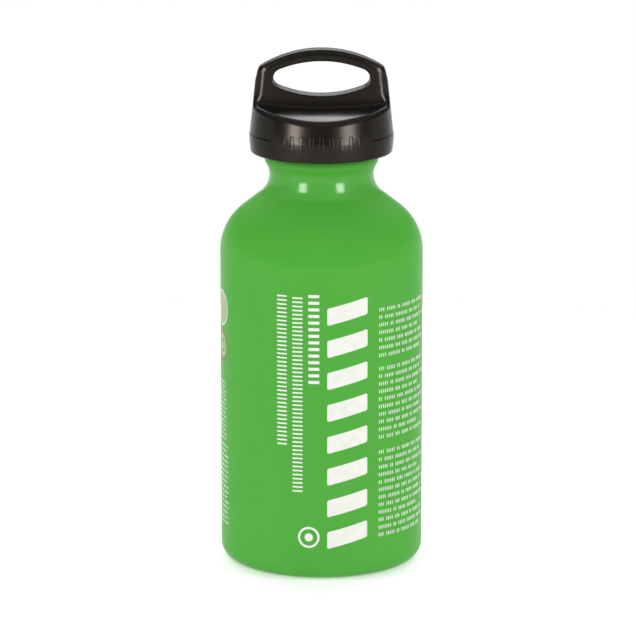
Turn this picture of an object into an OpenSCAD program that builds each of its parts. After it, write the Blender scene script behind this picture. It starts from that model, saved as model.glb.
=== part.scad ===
// Camping fuel bottle with a child-resistant screw cap. All sizes in mm.
// Front is -Y, the loop of the cap runs along X, up is +Z, the origin is the middle of the base.

/* [Bottle body] */
// Outer diameter of the straight body
body_d = 73; // [72:0.5:74]
// Thickness of the side, shoulder and neck wall
wall_t = 1.2; // [1:0.1:1.3]
// Outer radius of the corner between side and base
base_corner_r = 6.1; // [5.4:0.1:6.4]
// Height at which the straight side ends and the shoulder starts
side_top_z = 114; // [90:0.1:180]
// Radius of the ring on which the base dome starts
foot_r = 29; // [27:0.5:30]
// Height of the base dome above the ground
dome_h = 4.5; // [3:0.1:6]
// Thickness of the base dome
dome_t = 1.7; // [1.4:0.1:2]

/* [Shoulder and neck] */
// Outer radius of the rounded shoulder
shoulder_r = 19.8; // [19.4:0.1:20.4]
// Angle through which the shoulder curves before its straight run
shoulder_angle = 51.8; // [51.1:0.1:52.6]
// Radius of the hollow curve between shoulder and neck
neck_curve_r = 8.9; // [8.6:0.1:9.2]
// Outer radius of the neck at its narrowest
neck_r = 18.55; // [18.5:0.01:18.6]

/* [Collar and lip] */
// Radius of the flare between neck and collar
flare_r = 5; // [4.8:0.1:5.2]
// Outer radius of the collar
collar_r = 20.9; // [20.8:0.05:21]
// Radius of the rolled round of the collar
collar_round_r = 4; // [3.9:0.05:4.1]
// Depth of the flat on the lip, below the top of the round
lip_flat = 0.4; // [0.3:0.05:0.5]
// Radius of the open edge of the lip
lip_bore_r = 15.1; // [15:0.05:15.3]

/* [Neck insert] */
// Radius of the insert's bore, the root of its thread
insert_bore_r = 14.4; // [14.2:0.05:14.5]
// Length of the insert below the lip
insert_length = 13.4; // [12:0.1:16]
// Radial fit between the insert's sleeve and the neck
insert_fit = 0.1; // [0.05:0.01:0.15]
// Height of the insert's upper face below the lip
insert_drop = 1.5; // [1.4:0.05:1.6]

/* [Gasket] */
// Outer radius of the flat gasket
gasket_r = 18.5; // [18:0.05:18.55]
// Radius of the gasket's hole
gasket_bore_r = 15.4; // [15.3:0.05:15.6]
// Thickness of the gasket
gasket_t = 2; // [1.9:0.05:2.1]

/* [Stopper] */
// Outer radius of the threaded core without its thread
core_r = 12.6; // [12.4:0.05:12.7]
// Wall of the hollow core
core_wall = 2.2; // [1.8:0.1:2.6]
// Chamfer on the lower end of the core
core_chamfer = 0.8; // [0.4:0.1:1]
// Radius of the shoulder that carries the gasket
gasket_seat_r = 14.9; // [14.7:0.05:15]
// Gap between that shoulder and the lip
seat_gap = 0.3; // [0.3:0.05:0.5]
// Outer radius of the flange
flange_r = 23; // [22.8:0.05:23.05]
// Thickness of the flange
flange_t = 2.4; // [2.2:0.1:2.6]
// Small chamfer on the flange's edge
flange_chamfer = 0.4; // [0.2:0.1:0.5]
// Radius of the boss inside the spring
boss_r = 5.6; // [5.2:0.1:5.8]
// Height of the boss above the flange
boss_h = 4.4; // [4:0.1:4.8]
// Radius of the recess in the boss
boss_recess_r = 3.4; // [3:0.1:3.8]
// Depth of the recess in the boss
boss_recess_depth = 3; // [2:0.1:4]

/* [Ratchet] */
// Number of teeth on the stopper, and as many in the overcap
tooth_count = 8; // [4:4:8]
// Radius at which the teeth start
tooth_in_r = 13; // [12.6:0.1:14]
// Radius at which the teeth end
tooth_out_r = 19; // [18:0.1:19.4]
// Width of a tooth at its root
tooth_w = 4.8; // [4:0.1:5]
// Width of a tooth at its tip, beside its upright face
tooth_tip_w = 2.4; // [2:0.1:3]
// Height of the stopper's teeth
stopper_tooth_h = 3.8; // [3.6:0.1:3.9]
// How far the teeth reach into each other when the overcap is pressed
tooth_bite = 1.4; // [1.2:0.1:1.6]

/* [Spring] */
// Radius of the spring to the middle of its wire
spring_r = 7.2; // [7:0.05:7.3]
// Diameter of the spring wire
wire_d = 1; // [0.8:0.05:1.05]
// Number of turns, with one closed turn at each end
spring_turns = 4.5; // [4:0.5:5]
// Gap between the end turns and their seats
spring_seat_gap = 0.03; // [0.02:0.01:0.05]

/* [Overcap skirt] */
// Height of the overcap's lower rim above the ground, set against the lip
rim_below_lip = 1.7; // [1.5:0.1:1.9]
// Outer radius of the lower rim
rim_r = 25.4; // [25.2:0.05:25.5]
// Largest outer radius of the lower band
band_r = 25.9; // [25.9:0.05:26.05]
// Height of the largest radius above the rim
band_bulge_h = 5.8; // [5.4:0.1:6.2]
// Height of the band above the rim
band_h = 6.95; // [6.8:0.05:7.3]
// Rounding of the lower rim
rim_round = 0.8; // [0.5:0.1:1]
// Outer radius of the upper skirt where it stands on the band
skirt_r = 25.75; // [25.6:0.05:25.75]
// Narrowing of the upper skirt and of the loop's legs for each mm of height
skirt_draft = 0.105; // [0.1:0.001:0.12]
// Depth of the shallow face at front and back of the upper skirt
face_depth = 0.7; // [0.3:0.05:0.9]
// Radius of that shallow face
face_r = 27; // [26.8:0.1:28]
// Height of the middle of the saddle above the rim
saddle_h = 15.9; // [15.8:0.1:16.9]
// Radius of the saddle
saddle_r = 160; // [120:5:300]
// Height of the ceiling above the rim
ceiling_h = 13.6; // [13.6:0.1:13.8]
// Radius of the inside of the skirt
skirt_in_r = 23.4; // [23.3:0.05:23.5]
// Radius of the retaining bead inside the skirt
bead_r = 22.2; // [22:0.05:22.4]
// Gap between the bead and the flange above it
bead_gap = 0.1; // [0.1:0.05:0.2]
// Height of the bead
bead_h = 2.6; // [2.2:0.1:2.8]
// Outer radius of the ring that holds the spring
spring_ring_r = 9.8; // [9.6:0.1:10]
// Wall of the ring that holds the spring
spring_ring_t = 1.2; // [1:0.1:1.4]
// Height of the ring that holds the spring
spring_ring_h = 1.4; // [1:0.1:1.6]

/* [Overcap loop] */
// Thickness of the loop plate
loop_t = 7.6; // [6:0.1:8.5]
// Height of the loop's crest above the rim
crest_h = 37.35; // [36.9:0.05:38.2]
// Radius of the crest
crest_r = 41.2; // [40:0.1:44]
// Rounding of the upper corners
corner_r = 3.5; // [3:0.1:4]
// Half length of the eye
eye_half_l = 17.3; // [16.8:0.1:17.6]
// Half height of the eye
eye_half_h = 6.25; // [6.1:0.05:6.4]
// Radius of the eye's ends
eye_end_r = 3.6; // [3.3:0.1:4]
// Height of the middle of the eye above the rim
eye_h = 26.9; // [26.7:0.1:27.1]

/* [Grip bars] */
// Number of raised bars in each of the two groups
bar_count = 9; // [5:2:11]
// Angle between the bars
bar_step = 8; // [6:0.5:8]
// Width of a bar
bar_w = 1.7; // [1.2:0.1:2.2]
// Height of a bar
bar_h = 5.2; // [4.6:0.1:5.6]
// Outer radius of the bars up to the band's top
bar_r = 26.2; // [26.1:0.05:26.35]
// Outer radius of the bars at their upper ends
bar_top_r = 25.5; // [25.4:0.05:25.8]
// Height of the bars' lower end above the rim
bar_z = 4.4; // [4:0.1:5]

/* [Travel] */
// Lead of the neck thread
thread_lead = 4; // [3.5:0.25:4]
// Turns from closed to free
thread_turns = 3; // [2.75:0.25:3.25]
// Gap below the core when it has been turned free of the lip
lift_off_gap = 0.5; // [0.3:0.1:0.8]
// Travel of the overcap when it is pressed
press_travel = 2.2; // [2:0.1:2.3]

/* [Hidden] */
$fn = 96;
body_r = body_d / 2;
far = 300;
// Shoulder and neck: the middle of each arc and where the arcs meet
sh_c = [body_r - shoulder_r, side_top_z];
sh_run = (body_r - neck_r - (shoulder_r + neck_curve_r) * (1 - cos(shoulder_angle))) / sin(shoulder_angle);
sh_dir = [cos(shoulder_angle), sin(shoulder_angle)];
sh_end = sh_c + shoulder_r * sh_dir;
run_end = sh_end + sh_run * [-sh_dir[1], sh_dir[0]];
neck_c = run_end + neck_curve_r * sh_dir;
neck_z = neck_c[1];
flare_c = [neck_r + flare_r, neck_z];
collar_x = collar_r - collar_round_r;
collar_z = neck_z + sqrt(pow(flare_r + collar_round_r, 2) - pow(flare_c[0] - collar_x, 2));
collar_c = [collar_x, collar_z];
collar_dir = (collar_c - flare_c) / norm(collar_c - flare_c);
lip_z = collar_z + collar_round_r - lip_flat;
dome_r = (foot_r * foot_r + dome_h * dome_h) / (2 * dome_h);
// Heights of the closure
gasket_top = lip_z + gasket_t;
flange_top = gasket_top + flange_t;
core_bottom = lip_z - thread_lead * thread_turns + lift_off_gap;
rim_z = lip_z - rim_below_lip;
band_top = rim_z + band_h;
ceiling_z = rim_z + ceiling_h;
overcap_tooth_h = ceiling_z - flange_top - stopper_tooth_h - press_travel + tooth_bite;
saddle_z = rim_z + saddle_h;
crest_z = rim_z + crest_h;
eye_z = rim_z + eye_h;
skirt_high = saddle_z + 5;
bead_top = gasket_top - bead_gap;
// Loop: its legs are cut by the skirt's cone, and its outline passes just outside that cone.
// The corner's middle lies on a circle inside the crest and beside the leg.
leg_out = 0.05;
crest_c = [0, crest_z - crest_r];
leg_n = sqrt(1 + skirt_draft * skirt_draft);
leg_a = skirt_r + leg_out - skirt_draft * (crest_c[1] - band_top) - corner_r * leg_n;
leg_q = crest_r - corner_r;
corner_w = (leg_a * skirt_draft + sqrt(leg_a * leg_a * skirt_draft * skirt_draft
    - leg_n * leg_n * (leg_a * leg_a - leg_q * leg_q))) / (leg_n * leg_n);
corner_c = [leg_a - skirt_draft * corner_w, crest_c[1] + corner_w];
corner_t = corner_c + corner_r / leg_n * [1, skirt_draft];
corner_u = (corner_c - crest_c) / norm(corner_c - crest_c);
leg_foot_z = ceiling_z + 1;
leg_foot_x = skirt_r + leg_out - skirt_draft * (leg_foot_z - band_top);
// Lower band: the rim's round touches both the rim and the band's slope
band_m = (band_r - rim_r) / band_bulge_h;
band_n = sqrt(1 + band_m * band_m);
rim_c = [rim_r + band_m * rim_round - rim_round * band_n, rim_z + rim_round];
// The bead's lower face as a slope, radial over height
bead_lead_h = bead_top - bead_h + 0.6 - rim_z;
bead_slope = (skirt_in_r + 0.5 - bead_r) / bead_lead_h;
// Eye: two long arcs and two end arcs, which stand out of the long ones by a hair where they meet
eye_big_r = (pow(eye_half_l - eye_end_r, 2) + eye_half_h * eye_half_h - eye_end_r * eye_end_r)
    / (2 * (eye_half_h - eye_end_r));
eye_end_x = eye_half_l - eye_end_r;
eye_join = 0.03;
eye_cut_x = eye_end_x * eye_big_r / (eye_big_r - eye_end_r);

// Half section of the bottle's surface, moved inward by t, with its floor moved up by floor_t
module body_section(t, floor_t) {
    intersection() {
        difference() {
            union() {
                polygon([[0, base_corner_r], [body_r - t, base_corner_r], [body_r - t, side_top_z],
                    sh_c + (shoulder_r - t) * sh_dir, neck_c - (neck_curve_r + t) * sh_dir,
                    neck_c, flare_c, flare_c + (flare_r + t) * collar_dir, collar_c, [0, collar_z]]);
                translate([body_r - base_corner_r, base_corner_r]) circle(base_corner_r - t);
                translate([0, t]) square([body_r - base_corner_r, base_corner_r]);
                translate(sh_c) circle(shoulder_r - t);
                translate(collar_c) circle(collar_round_r - t);
            }
            intersection() {
                translate(neck_c) circle(neck_curve_r + t);
                translate([0, neck_z - far]) square([far, far]);
            }
            intersection() {
                translate(flare_c) circle(flare_r + t);
                translate([0, neck_z]) square([far, far]);
            }
            translate([0, dome_h - dome_r]) circle(dome_r + floor_t, $fn = 360);
        }
        square([far, lip_z]);
    }
}

// Drawn aluminium can, necked in and rolled over at the lip
module bottle_shell() {
    color([0.30, 0.62, 0.20])
    rotate_extrude() difference() {
        body_section(0, 0);
        body_section(wall_t, dome_t);
        translate([0, collar_z - 0.01]) square([lip_bore_r, far]);
    }
}

// Insert with the inner thread, held under the rolled lip
module neck_ring() {
    color([0.78, 0.78, 0.76])
    rotate_extrude() difference() {
        union() {
            translate([insert_bore_r, lip_z - insert_length])
                square([neck_r - wall_t - insert_fit - insert_bore_r, insert_length - insert_drop]);
            translate(collar_c) circle(collar_round_r - wall_t);
        }
        square([insert_bore_r, far]);
    }
}

// Flat gasket between lip and flange
module seal_ring() {
    color([0.16, 0.13, 0.12])
    translate([0, 0, lip_z]) difference() {
        cylinder(r = gasket_r, h = gasket_t);
        translate([0, 0, -1]) cylinder(r = gasket_bore_r, h = gasket_t + 2);
    }
}

// One tooth, standing up from z = 0, with an upright face on one side and a ramp on the other
module tooth(h) {
    rotate([90, 0, 90]) translate([0, 0, tooth_in_r])
        linear_extrude(tooth_out_r - tooth_in_r)
        polygon([[-tooth_w / 2, -0.2], [tooth_w / 2, -0.2], [tooth_w / 2, 0],
            [tooth_tip_w - tooth_w / 2, h], [-tooth_w / 2, h], [-tooth_w / 2, 0]]);
}

// Inner stopper: hollow threaded core, gasket seat, flange, spring boss and ratchet teeth
module stopper() {
    color([0.22, 0.21, 0.20]) {
        difference() {
            rotate_extrude() difference() {
                polygon([[0, core_bottom], [core_r - core_chamfer, core_bottom],
                    [core_r, core_bottom + core_chamfer], [core_r, lip_z + seat_gap],
                    [gasket_seat_r, lip_z + seat_gap], [gasket_seat_r, gasket_top],
                    [flange_r - flange_chamfer, gasket_top], [flange_r, gasket_top + flange_chamfer],
                    [flange_r, flange_top - flange_chamfer], [flange_r - flange_chamfer, flange_top],
                    [boss_r, flange_top], [boss_r, flange_top + boss_h - 0.5],
                    [boss_r - 0.5, flange_top + boss_h], [0, flange_top + boss_h]]);
                translate([0, core_bottom - 1])
                    square([core_r - core_wall, gasket_top + 0.2 - core_bottom + 1]);
            }
            translate([0, 0, flange_top + boss_h - boss_recess_depth])
                cylinder(r = boss_recess_r, h = boss_recess_depth + 1);
        }
        for (i = [0 : tooth_count - 1])
            rotate([0, 0, (i + 0.5) * 360 / tooth_count]) translate([0, 0, flange_top])
            tooth(stopper_tooth_h);
    }
}

// Coil spring that holds the overcap up, with one closed turn at each end
function spring_z(u) = u < 1 ? wire_d * 1.02 * u
    : u > spring_turns - 1 ? spring_run - wire_d * 1.02 * (spring_turns - u)
    : wire_d * 1.02 + (spring_run - 2.04 * wire_d) * (u - 1) / (spring_turns - 2);
spring_run = ceiling_z - flange_top - wire_d - 2 * spring_seat_gap;
spring_rings = ceil(spring_turns * 20);
wire_sides = 8;
module return_spring() {
    color([0.72, 0.72, 0.74])
    translate([0, 0, flange_top + wire_d / 2 + spring_seat_gap])
    polyhedron(points = [for (i = [0 : spring_rings], k = [0 : wire_sides - 1])
            let (u = i * spring_turns / spring_rings, a = 360 * u, b = k * 360 / wire_sides,
                r = spring_r + wire_d / 2 * cos(b))
            [r * cos(a), r * sin(a), spring_z(u) + wire_d / 2 * sin(b)]],
        faces = concat([[for (k = [0 : wire_sides - 1]) k]],
            [for (i = [0 : spring_rings - 1], k = [0 : wire_sides - 1])
                let (n = (k + 1) % wire_sides, a = i * wire_sides, b = a + wire_sides)
                [a + k, b + k, b + n, a + n]],
            [[for (k = [wire_sides - 1 : -1 : 0]) spring_rings * wire_sides + k]]));
}

// Outline of the loop plate, seen from the front
module loop_outline() {
    difference() {
        intersection() {
            translate(crest_c) circle(crest_r, $fn = 360);
            union() {
                polygon([[-leg_foot_x, leg_foot_z], [leg_foot_x, leg_foot_z], corner_t, corner_c,
                    crest_c + (crest_r + 6) * corner_u, [0, crest_z + 6],
                    [-(crest_r + 6) * corner_u[0], crest_c[1] + (crest_r + 6) * corner_u[1]],
                    [-corner_c[0], corner_c[1]], [-corner_t[0], corner_t[1]]]);
                for (s = [-1, 1]) translate([s * corner_c[0], corner_c[1]]) circle(corner_r);
            }
        }
        translate([0, eye_z]) eye_outline();
    }
}

// The eye: a long oval of four arcs
module eye_outline() {
    intersection() {
        translate([0, eye_big_r - eye_half_h]) circle(eye_big_r, $fn = 360);
        translate([0, eye_half_h - eye_big_r]) circle(eye_big_r, $fn = 360);
        square([2 * eye_cut_x, 4 * eye_half_h], center = true);
    }
    for (s = [-1, 1]) translate([s * eye_end_x, 0]) circle(eye_end_r + eye_join);
}

// The cone that the upper skirt and the loop's legs share
module skirt_cone(high) {
    translate([0, 0, band_top - 1]) rotate([0, 0, 90])
        cylinder(r1 = skirt_r + skirt_draft, r2 = skirt_r - skirt_draft * (high - band_top),
            h = high - band_top + 1);
}

// Shallow face at the front or back of the upper skirt, as the whole round it belongs to
module skirt_face(side) {
    translate([0, side * (face_r - skirt_r + face_depth), band_top - 1])
        cylinder(r1 = face_r + skirt_draft, r2 = face_r - skirt_draft * (skirt_high - band_top),
            h = skirt_high - band_top + 1);
}

// Outer overcap: band, upper skirt with a saddle top, loop, retaining bead, teeth and grip bars
module overcap() {
    color([0.13, 0.12, 0.11]) {
        difference() {
            union() {
                rotate_extrude() {
                    polygon([[0, rim_z], [rim_c[0], rim_z], rim_c + rim_round / band_n * [1, -band_m],
                        [band_r, rim_z + band_bulge_h], [band_r - 0.05, band_top - 0.4],
                        [band_r - 0.45, band_top], [0, band_top]]);
                    translate(rim_c) circle(rim_round);
                }
                difference() {
                    intersection() {
                        skirt_cone(skirt_high);
                        skirt_face(1);
                        skirt_face(-1);
                    }
                    translate([0, 0, saddle_z + saddle_r]) rotate([90, 0, 0])
                        cylinder(r = saddle_r, h = 80, center = true, $fn = 720);
                }
                intersection() {
                    skirt_cone(crest_z + 5);
                    rotate([90, 0, 0]) linear_extrude(loop_t, center = true) loop_outline();
                }
                intersection() {
                    union() {
                        translate([0, 0, rim_z]) cylinder(r = bar_r, h = band_h);
                        translate([0, 0, band_top])
                            cylinder(r1 = bar_r, r2 = bar_top_r, h = bar_z + bar_h - band_h);
                    }
                    for (side = [0, 180], i = [0 : bar_count - 1])
                        rotate([0, 0, side + (i - (bar_count - 1) / 2) * bar_step])
                        translate([-bar_w / 2, -bar_r - 1, rim_z + bar_z])
                        cube([bar_w, 3, bar_h]);
                }
            }
            rotate_extrude() polygon([[0, rim_z - 1],
                [bead_r + bead_slope * (bead_lead_h + 1), rim_z - 1], [bead_r, rim_z + bead_lead_h],
                [bead_r, bead_top], [skirt_in_r, bead_top],
                [skirt_in_r, ceiling_z - 0.6], [skirt_in_r - 0.6, ceiling_z], [0, ceiling_z]]);
        }
        translate([0, 0, ceiling_z - spring_ring_h]) difference() {
            cylinder(r = spring_ring_r, h = spring_ring_h + 0.2);
            translate([0, 0, -1]) cylinder(r = spring_ring_r - spring_ring_t, h = spring_ring_h + 1);
        }
        for (i = [0 : tooth_count - 1])
            rotate([0, 0, i * 360 / tooth_count]) translate([0, 0, ceiling_z])
            mirror([0, 0, 1]) tooth(overcap_tooth_h);
    }
}

bottle_shell();
neck_ring();
seal_ring();
stopper();
return_spring();
overcap();
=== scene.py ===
"""Camping fuel bottle: a green lacquered aluminium can with a black push-and-turn cap."""

import math

import bmesh
import bpy
import numpy as np
from mathutils import Matrix, Vector


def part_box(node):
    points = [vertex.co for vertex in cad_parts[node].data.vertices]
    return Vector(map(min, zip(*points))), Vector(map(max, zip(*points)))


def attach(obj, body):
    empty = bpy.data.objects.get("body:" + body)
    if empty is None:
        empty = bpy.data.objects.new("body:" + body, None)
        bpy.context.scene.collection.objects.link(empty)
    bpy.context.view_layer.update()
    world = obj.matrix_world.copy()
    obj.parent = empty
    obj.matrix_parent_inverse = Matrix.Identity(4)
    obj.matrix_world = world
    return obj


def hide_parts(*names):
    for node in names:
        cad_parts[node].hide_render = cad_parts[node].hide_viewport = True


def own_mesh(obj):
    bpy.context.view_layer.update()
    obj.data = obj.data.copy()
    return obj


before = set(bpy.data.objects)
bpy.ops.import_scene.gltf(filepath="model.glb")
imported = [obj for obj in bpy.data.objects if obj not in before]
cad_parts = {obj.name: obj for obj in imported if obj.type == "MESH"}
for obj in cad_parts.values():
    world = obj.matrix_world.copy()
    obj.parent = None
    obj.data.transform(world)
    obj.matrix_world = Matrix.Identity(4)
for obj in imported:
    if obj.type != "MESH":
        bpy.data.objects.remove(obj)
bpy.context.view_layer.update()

# The can. One piece of aluminium, pressed to a cup, necked in, and rolled over at the lip.
# Its outside is sprayed with glossy green lacquer and baked; its inside is left bare.
# Sizes here and below are in millimetres, and MM turns them into the frame's metres.
MM = 0.001
can_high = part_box("bottle_shell")[1]
body_r = can_high[0] / MM
lip_z = can_high[2] / MM
wall = 1.2
base_corner_r = 6.1
side_top_z = 114.0
foot_r, dome_h, dome_t = 29.0, 4.5, 1.7
shoulder_r, shoulder_turn = 19.8, math.radians(51.8)
neck_r, neck_curve_r = 18.73, 8.9
flare_r, collar_r, collar_round_r = 7.3, 20.5, 4.0
lip_bore_r, lip_edge_r = 15.1, 0.3
can_steps = 208
crease_angle = math.radians(40)


def arc(centre, radius, start, end, steps):
    """Points of an arc in a half section, from angle start to angle end in degrees, both included."""
    turns = np.radians(np.linspace(start, end, steps))
    return [(centre[0] + radius * math.cos(a), centre[1] + radius * math.sin(a)) for a in turns]


def line(start, end, steps):
    """Points of a straight run without its ends."""
    shares = np.linspace(0, 1, steps + 1)[1:-1]
    return [(start[0] + (end[0] - start[0]) * s, start[1] + (end[1] - start[1]) * s) for s in shares]


def shown(name, vertices, faces, materials):
    """A smooth-shaded mesh object made of points in millimetres, with creases where it turns sharply."""
    mesh = bpy.data.meshes.new(name)
    mesh.from_pydata([tuple(v) for v in np.asarray(vertices) * MM], [], faces)
    for material in materials:
        mesh.materials.append(material)
    mesh.shade_smooth()
    mesh.set_sharp_from_angle(angle=crease_angle)
    piece = bpy.data.objects.new(name, mesh)
    bpy.context.scene.collection.objects.link(piece)
    return piece


def eased(corners, steps=5):
    """A half section through the corners (r, z, rounding), each rounded by its own radius."""
    section = []
    for i, (r, z, size) in enumerate(corners):
        if not size:
            section.append((r, z))
            continue
        here = np.array((r, z))
        before = np.array(corners[i - 1][:2]) - here
        after = np.array(corners[(i + 1) % len(corners)][:2]) - here
        before, after = before / np.linalg.norm(before), after / np.linalg.norm(after)
        half = math.acos(np.clip(before @ after, -1, 1)) / 2
        middle = (before + after) / np.linalg.norm(before + after)
        centre = here + middle * size / math.sin(half)
        reach = size / math.tan(half)
        start, end = here + before * reach - centre, here + after * reach - centre
        for share in np.linspace(0, 1, steps + 1):
            way = start * (1 - share) + end * share
            section.append(tuple(centre + way * size / np.linalg.norm(way)))
    return section


def revolved(outline, relief=None, steps=240):
    """Vertices and faces of a half section turned round the axis. It closes on itself, or else starts
    and ends on the axis. relief gives the new radius and height of each point at each angle."""
    turn = np.linspace(0, 2 * math.pi, steps, endpoint=False)[:, None]
    r, z = np.array(outline).T[:, None, :]
    r, z = relief(turn, r, z) if relief else (r, z)
    r, z = r + 0 * turn, z + 0 * turn
    vertices = np.stack([r * np.cos(turn), r * np.sin(turn), z], axis=2).reshape(-1, 3)
    count = len(outline)
    on_axis = outline[0][0] == 0
    faces = []
    for i in range(steps):
        here, there = i * count, (i + 1) % steps * count
        for k in range(count - 1 if on_axis else count):
            n = (k + 1) % count
            faces.append((here + k, there + k, there + n, here + n))
    return vertices, faces


def welded(piece, distance=1e-6):
    """Joins the points that fall together, such as those on the axis, and drops what has no area."""
    work = bmesh.new()
    work.from_mesh(piece.data)
    bmesh.ops.remove_doubles(work, verts=work.verts, dist=distance)
    bmesh.ops.dissolve_degenerate(work, edges=work.edges, dist=distance)
    bmesh.ops.recalc_face_normals(work, faces=work.faces)
    work.to_mesh(piece.data)
    work.free()


shoulder_c = (body_r - shoulder_r, side_top_z)
lean = (math.cos(shoulder_turn), math.sin(shoulder_turn))
run = (body_r - neck_r - (shoulder_r + neck_curve_r) * (1 - lean[0])) / lean[1]
shoulder_end = (shoulder_c[0] + shoulder_r * lean[0], shoulder_c[1] + shoulder_r * lean[1])
run_end = (shoulder_end[0] - run * lean[1], shoulder_end[1] + run * lean[0])
neck_c = (run_end[0] + neck_curve_r * lean[0], run_end[1] + neck_curve_r * lean[1])
flare_c = (neck_r + flare_r, neck_c[1])
collar_x = collar_r - collar_round_r
collar_rise = math.sqrt((flare_r + collar_round_r) ** 2 - (flare_c[0] - collar_x) ** 2)
collar_c = (collar_x, neck_c[1] + collar_rise)
collar_turn = math.degrees(math.atan2(collar_c[1] - flare_c[1], collar_c[0] - flare_c[0]))
dome_r = (foot_r ** 2 + dome_h ** 2) / (2 * dome_h)


def can_side(inset):
    """The can's section from the top of the base corner to where the collar meets its round, moved in."""
    turn = math.degrees(shoulder_turn)
    straight = [(body_r - inset, base_corner_r)]
    straight += line((body_r - inset, base_corner_r), (body_r - inset, side_top_z), 40)
    curve = arc(shoulder_c, shoulder_r - inset, 0, turn, 40)
    hollow = arc(neck_c, neck_curve_r + inset, 180 + turn, 180, 30)
    flare = arc(flare_c, flare_r + inset, 180, collar_turn, 16)[1:]
    return straight + curve + line(curve[-1], hollow[0], 10) + hollow + flare


dome_edge = math.degrees(math.asin(foot_r / dome_r))
dome_c = (0, dome_h - dome_r)
lip_flat_x = math.sqrt(collar_round_r ** 2 - (lip_z - collar_c[1]) ** 2)
lip_flat_turn = math.degrees(math.atan2(lip_z - collar_c[1], lip_flat_x))
floor_edge = math.sqrt((dome_r + dome_t) ** 2 - (wall - dome_c[1]) ** 2)
floor_turn = math.degrees(math.asin(floor_edge / (dome_r + dome_t)))
corner_c = (body_r - base_corner_r, base_corner_r)
outside = arc(dome_c, dome_r, 90, 90 - dome_edge, 40)
outside += line(outside[-1], (corner_c[0], 0), 6)
outside += arc(corner_c, base_corner_r, -90, 0, 24)[:-1] + can_side(0)
outside += arc(collar_c, collar_round_r, collar_turn - 180, lip_flat_turn, 30)[1:]
lip = line(outside[-1], (lip_bore_r + lip_edge_r, lip_z), 5)
lip += arc((lip_bore_r + lip_edge_r, lip_z - lip_edge_r), lip_edge_r, 90, 180, 6)
bore_turn = 180 - math.degrees(math.acos((collar_x - lip_bore_r) / (collar_round_r - wall)))
inside = arc(collar_c, collar_round_r - wall, bore_turn, collar_turn - 180, 34)
inside += can_side(wall)[::-1]
inside += arc(corner_c, base_corner_r - wall, 0, -90, 20)[1:]
inside += line(inside[-1], (floor_edge, wall), 5) + arc(dome_c, dome_r + dome_t, 90 - floor_turn, 90, 36)
outside[0], inside[-1] = (0, dome_h), (0, dome_h + dome_t)


def finish(name, colour, roughness, metal=0.0):
    """A new material with its main shader set, and the node tree, the shader and a surface coordinate."""
    material = bpy.data.materials.new(name)
    material.use_nodes = True
    tree = material.node_tree
    shader = tree.nodes["Principled BSDF"]
    shader.inputs["Base Color"].default_value = (*colour, 1)
    shader.inputs["Roughness"].default_value = roughness
    shader.inputs["Metallic"].default_value = metal
    place = tree.nodes.new("ShaderNodeTexCoord")
    return material, tree, shader, place.outputs["Object"]


def noise(tree, place, scale, detail=2.0, stretch=(1, 1, 1)):
    """A noise texture over the piece, its scale in features for each metre."""
    mapping = tree.nodes.new("ShaderNodeMapping")
    mapping.inputs["Scale"].default_value = stretch
    texture = tree.nodes.new("ShaderNodeTexNoise")
    texture.inputs["Scale"].default_value = scale
    texture.inputs["Detail"].default_value = detail
    tree.links.new(place, mapping.inputs["Vector"])
    tree.links.new(mapping.outputs["Vector"], texture.inputs["Vector"])
    return texture.outputs["Fac"]


def spread(tree, value, low, high):
    """Turns a noise value into a number between low and high."""
    ramp = tree.nodes.new("ShaderNodeMapRange")
    ramp.inputs["From Min"].default_value = 0.3
    ramp.inputs["From Max"].default_value = 0.7
    ramp.inputs["To Min"].default_value = low
    ramp.inputs["To Max"].default_value = high
    tree.links.new(value, ramp.inputs["Value"])
    return ramp.outputs["Result"]


def mottled(tree, shader, value, first, second):
    """Drives the base colour between two close shades."""
    mix = tree.nodes.new("ShaderNodeMix")
    mix.data_type = "RGBA"
    mix.inputs["A"].default_value = (*first, 1)
    mix.inputs["B"].default_value = (*second, 1)
    tree.links.new(value, mix.inputs["Factor"])
    tree.links.new(mix.outputs["Result"], shader.inputs["Base Color"])


def bumped(tree, shader, value, depth, below=None):
    """Raises the surface by the value, its depth in metres, over an earlier bump if one is given."""
    bump = tree.nodes.new("ShaderNodeBump")
    bump.inputs["Strength"].default_value = 1.0
    bump.inputs["Distance"].default_value = depth
    tree.links.new(value, bump.inputs["Height"])
    if below:
        tree.links.new(below, bump.inputs["Normal"])
    tree.links.new(bump.outputs["Normal"], shader.inputs["Normal"])
    return bump.outputs["Normal"]


def green_lacquer(name, coat):
    """Baked lacquer: an even colour under a clear gloss, with a faint orange peel."""
    material, tree, shader, place = finish(name, (0.077, 0.395, 0.042), 0.42)
    shader.inputs["Specular IOR Level"].default_value = 0.1
    shader.inputs["Coat Weight"].default_value = coat
    shader.inputs["Coat Roughness"].default_value = 0.14
    mottled(tree, shader, spread(tree, noise(tree, place, 45), 0, 1),
            (0.075, 0.390, 0.041), (0.079, 0.400, 0.043))
    tree.links.new(spread(tree, noise(tree, place, 160), 0.38, 0.46), shader.inputs["Roughness"])
    peel = bumped(tree, shader, noise(tree, place, 700, 1.0), 0.000012)
    bumped(tree, shader, noise(tree, place, 2600, 2.0), 0.0000025, peel)
    return material


def drawn_aluminium():
    """Bare metal with the fine rings that drawing and turning leave round the axis."""
    material, tree, shader, place = finish("bare_aluminium", (0.80, 0.80, 0.79), 0.34, 1.0)
    rings = noise(tree, place, 900, 3.0, (0.04, 0.04, 4.0))
    mottled(tree, shader, spread(tree, noise(tree, place, 220), 0, 1), (0.76, 0.76, 0.75), (0.83, 0.83, 0.82))
    tree.links.new(spread(tree, rings, 0.27, 0.42), shader.inputs["Roughness"])
    bumped(tree, shader, rings, 0.000012)
    return material


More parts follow.
